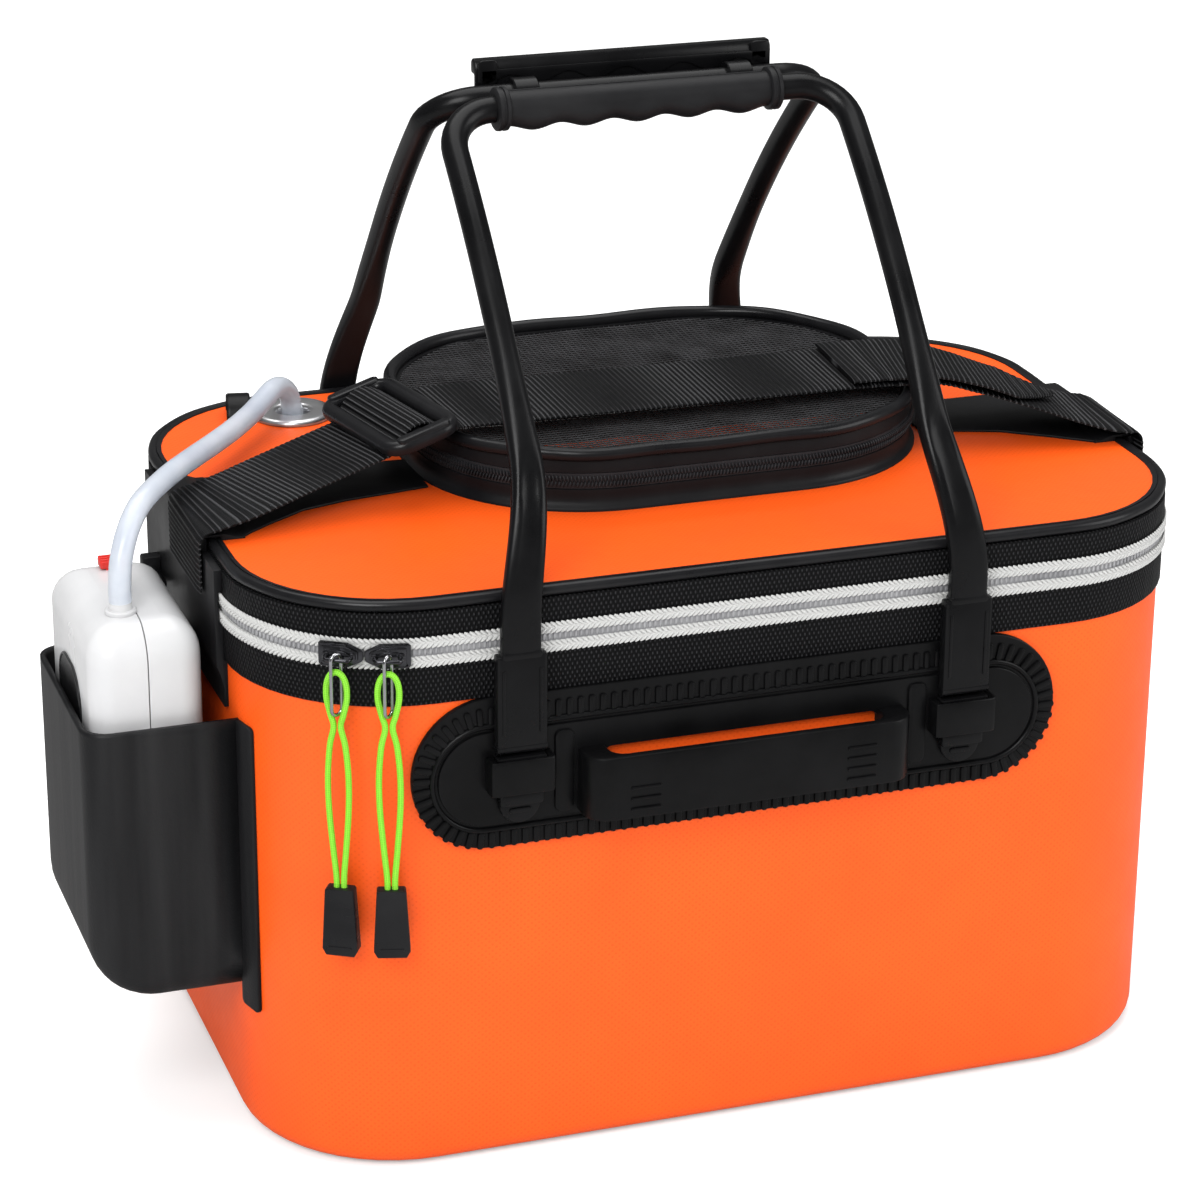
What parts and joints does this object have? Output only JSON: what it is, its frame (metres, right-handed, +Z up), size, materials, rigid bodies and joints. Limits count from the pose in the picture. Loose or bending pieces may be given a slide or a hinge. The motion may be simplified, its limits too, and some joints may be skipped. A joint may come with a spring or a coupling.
{
  "type": "aerated bait bucket",
  "caption": "Soft sheet bait bucket with a zipped lid and net hatch, plate-mounted carrying handles, a shoulder strap, and a pocketed battery air pump with its hose and stone.",
  "frame": {"origin": "middle of the bucket's base, on the ground", "axes": "+X to the right along the long side seen from the front face with the zipper sliders, +Y to the back, +Z up"},
  "size_m": [0.4139, 0.2582, 0.3652],
  "materials": {
    "orange_sheet": "woven, coated",
    "woven_tape": "woven",
    "white_row": "braided",
    "silver_teeth": "satin",
    "black_sheet": "coated, smooth",
    "hatch_zip": "coiled",
    "black_net": "knitted",
    "gunmetal": "dark plated",
    "plate_rubber": "satin",
    "handle_plastic": "satin",
    "grip_rubber": "satin",
    "steel_wire": "polished",
    "lime_cord": "braided",
    "black_moulded": "semi-gloss",
    "black_webbing": "woven",
    "white_case": "satin",
    "black_label": "semi-gloss",
    "red_switch": "semi-gloss",
    "battery_foil": "satin",
    "motor_metal": "satin",
    "polished_ring": "polished",
    "clear_tube": "translucent, soft",
    "grey_stone": "sintered, rough"
  },
  "bodies": {
    "bucket": {"floor_tray": "orange_sheet", "bucket_wall": "orange_sheet", "lower_zip_tape": "woven_tape", "lower_zip_row": "white_row", "zip_teeth": "silver_teeth", "upper_zip_row": "white_row", "upper_zip_tape": "woven_tape", "lid_panel": "orange_sheet", "lid_piping": "black_sheet", "hatch_collar": "black_sheet", "hatch_zip_coil": "hatch_zip", "hatch_piping": "black_sheet", "hatch_net": "black_net", "front_plate": "plate_rubber", "front_plate_rim": "plate_rubber", "front_handle_feet": "plate_rubber", "back_plate": "plate_rubber", "back_plate_rim": "plate_rubber", "back_handle_feet": "plate_rubber", "end_patches": "black_sheet", "strap_beds": "black_sheet", "strap_webbing": "black_webbing", "strap_tail": "black_webbing", "strap_buckle": "black_moulded", "strap_fold": "black_webbing", "strap_pins": "steel_wire", "pin_loops": "black_sheet", "pocket": "black_sheet", "pump_outer_case": "white_case", "pump_inner_case": "white_case", "battery_door": "white_case", "pump_badge": "black_label", "pump_outlet": "white_case", "pump_ring": "white_case", "pump_latches": "white_case", "batteries": "battery_foil", "pump_motor": "motor_metal", "grommet": "polished_ring", "grommet_washer": "polished_ring", "grommet_cap": "black_sheet", "hose": "clear_tube", "air_stone": "grey_stone"},
    "front_handle": {"front_handle_straps": "plate_rubber", "front_handle_loop": "handle_plastic", "grip_sleeve": "grip_rubber", "grip_collars": "grip_rubber"},
    "back_handle": {"back_handle_straps": "plate_rubber", "back_handle_loop": "handle_plastic"},
    "grip_cover": {"grip_cover": "grip_rubber", "grip_cover_clips": "grip_rubber"},
    "left_slider": {"left_slider": "gunmetal"},
    "left_pull": {"left_pull_ring": "steel_wire", "left_pull_cord": "lime_cord", "left_pull_tab": "black_moulded"},
    "right_slider": {"right_slider": "gunmetal"},
    "right_pull": {"right_pull_ring": "steel_wire", "right_pull_cord": "lime_cord", "right_pull_tab": "black_moulded"},
    "hatch_slider": {"hatch_slider": "gunmetal"},
    "pump_switch": {"pump_switch": "red_switch"}
  },
  "joints": [
    {"name": "front_handle_swing", "type": "hinge", "parent": "bucket", "child": "front_handle", "pos_m": [-0.007, -0.1184, 0.161], "axis": [1, 0, 0], "range_deg": [0, 100]},
    {"name": "back_handle_swing", "type": "hinge", "parent": "bucket", "child": "back_handle", "pos_m": [-0.007, 0.1184, 0.161], "axis": [-1, 0, 0], "range_deg": [0, 100]},
    {"name": "grip_cover_fold", "type": "hinge", "parent": "back_handle", "child": "grip_cover", "pos_m": [-0.007, 0.0077, 0.35324], "axis": [1, 0, 0], "range_deg": [0, 80]},
    {"name": "left_slider_travel", "type": "hinge", "parent": "bucket", "child": "left_slider", "pos_m": [-0.117, -0.0545, 0.1975], "axis": [0, 0, -1], "range_deg": [0, 22]},
    {"name": "left_pull_swing", "type": "hinge", "parent": "left_slider", "child": "left_pull", "pos_m": [-0.15146, -0.11184, 0.1975], "axis": [-0.8572, 0.515, 0], "range_deg": [0, 80]},
    {"name": "right_slider_travel", "type": "hinge", "parent": "bucket", "child": "right_slider", "pos_m": [-0.117, -0.0545, 0.1975], "axis": [0, 0, 1], "range_deg": [0, 12.5]},
    {"name": "right_pull_swing", "type": "hinge", "parent": "right_slider", "child": "right_pull", "pos_m": [-0.13544, -0.11881, 0.1975], "axis": [-0.9613, 0.2756, 0], "range_deg": [0, 80]},
    {"name": "hatch_slider_travel", "type": "slide", "parent": "bucket", "child": "hatch_slider", "axis": [-1, 0, 0], "range_m": [0, 0.04]},
    {"name": "pump_switch_slide", "type": "slide", "parent": "bucket", "child": "pump_switch", "axis": [0, 1, 0], "range_m": [0, 0.0035]}
  ]
}
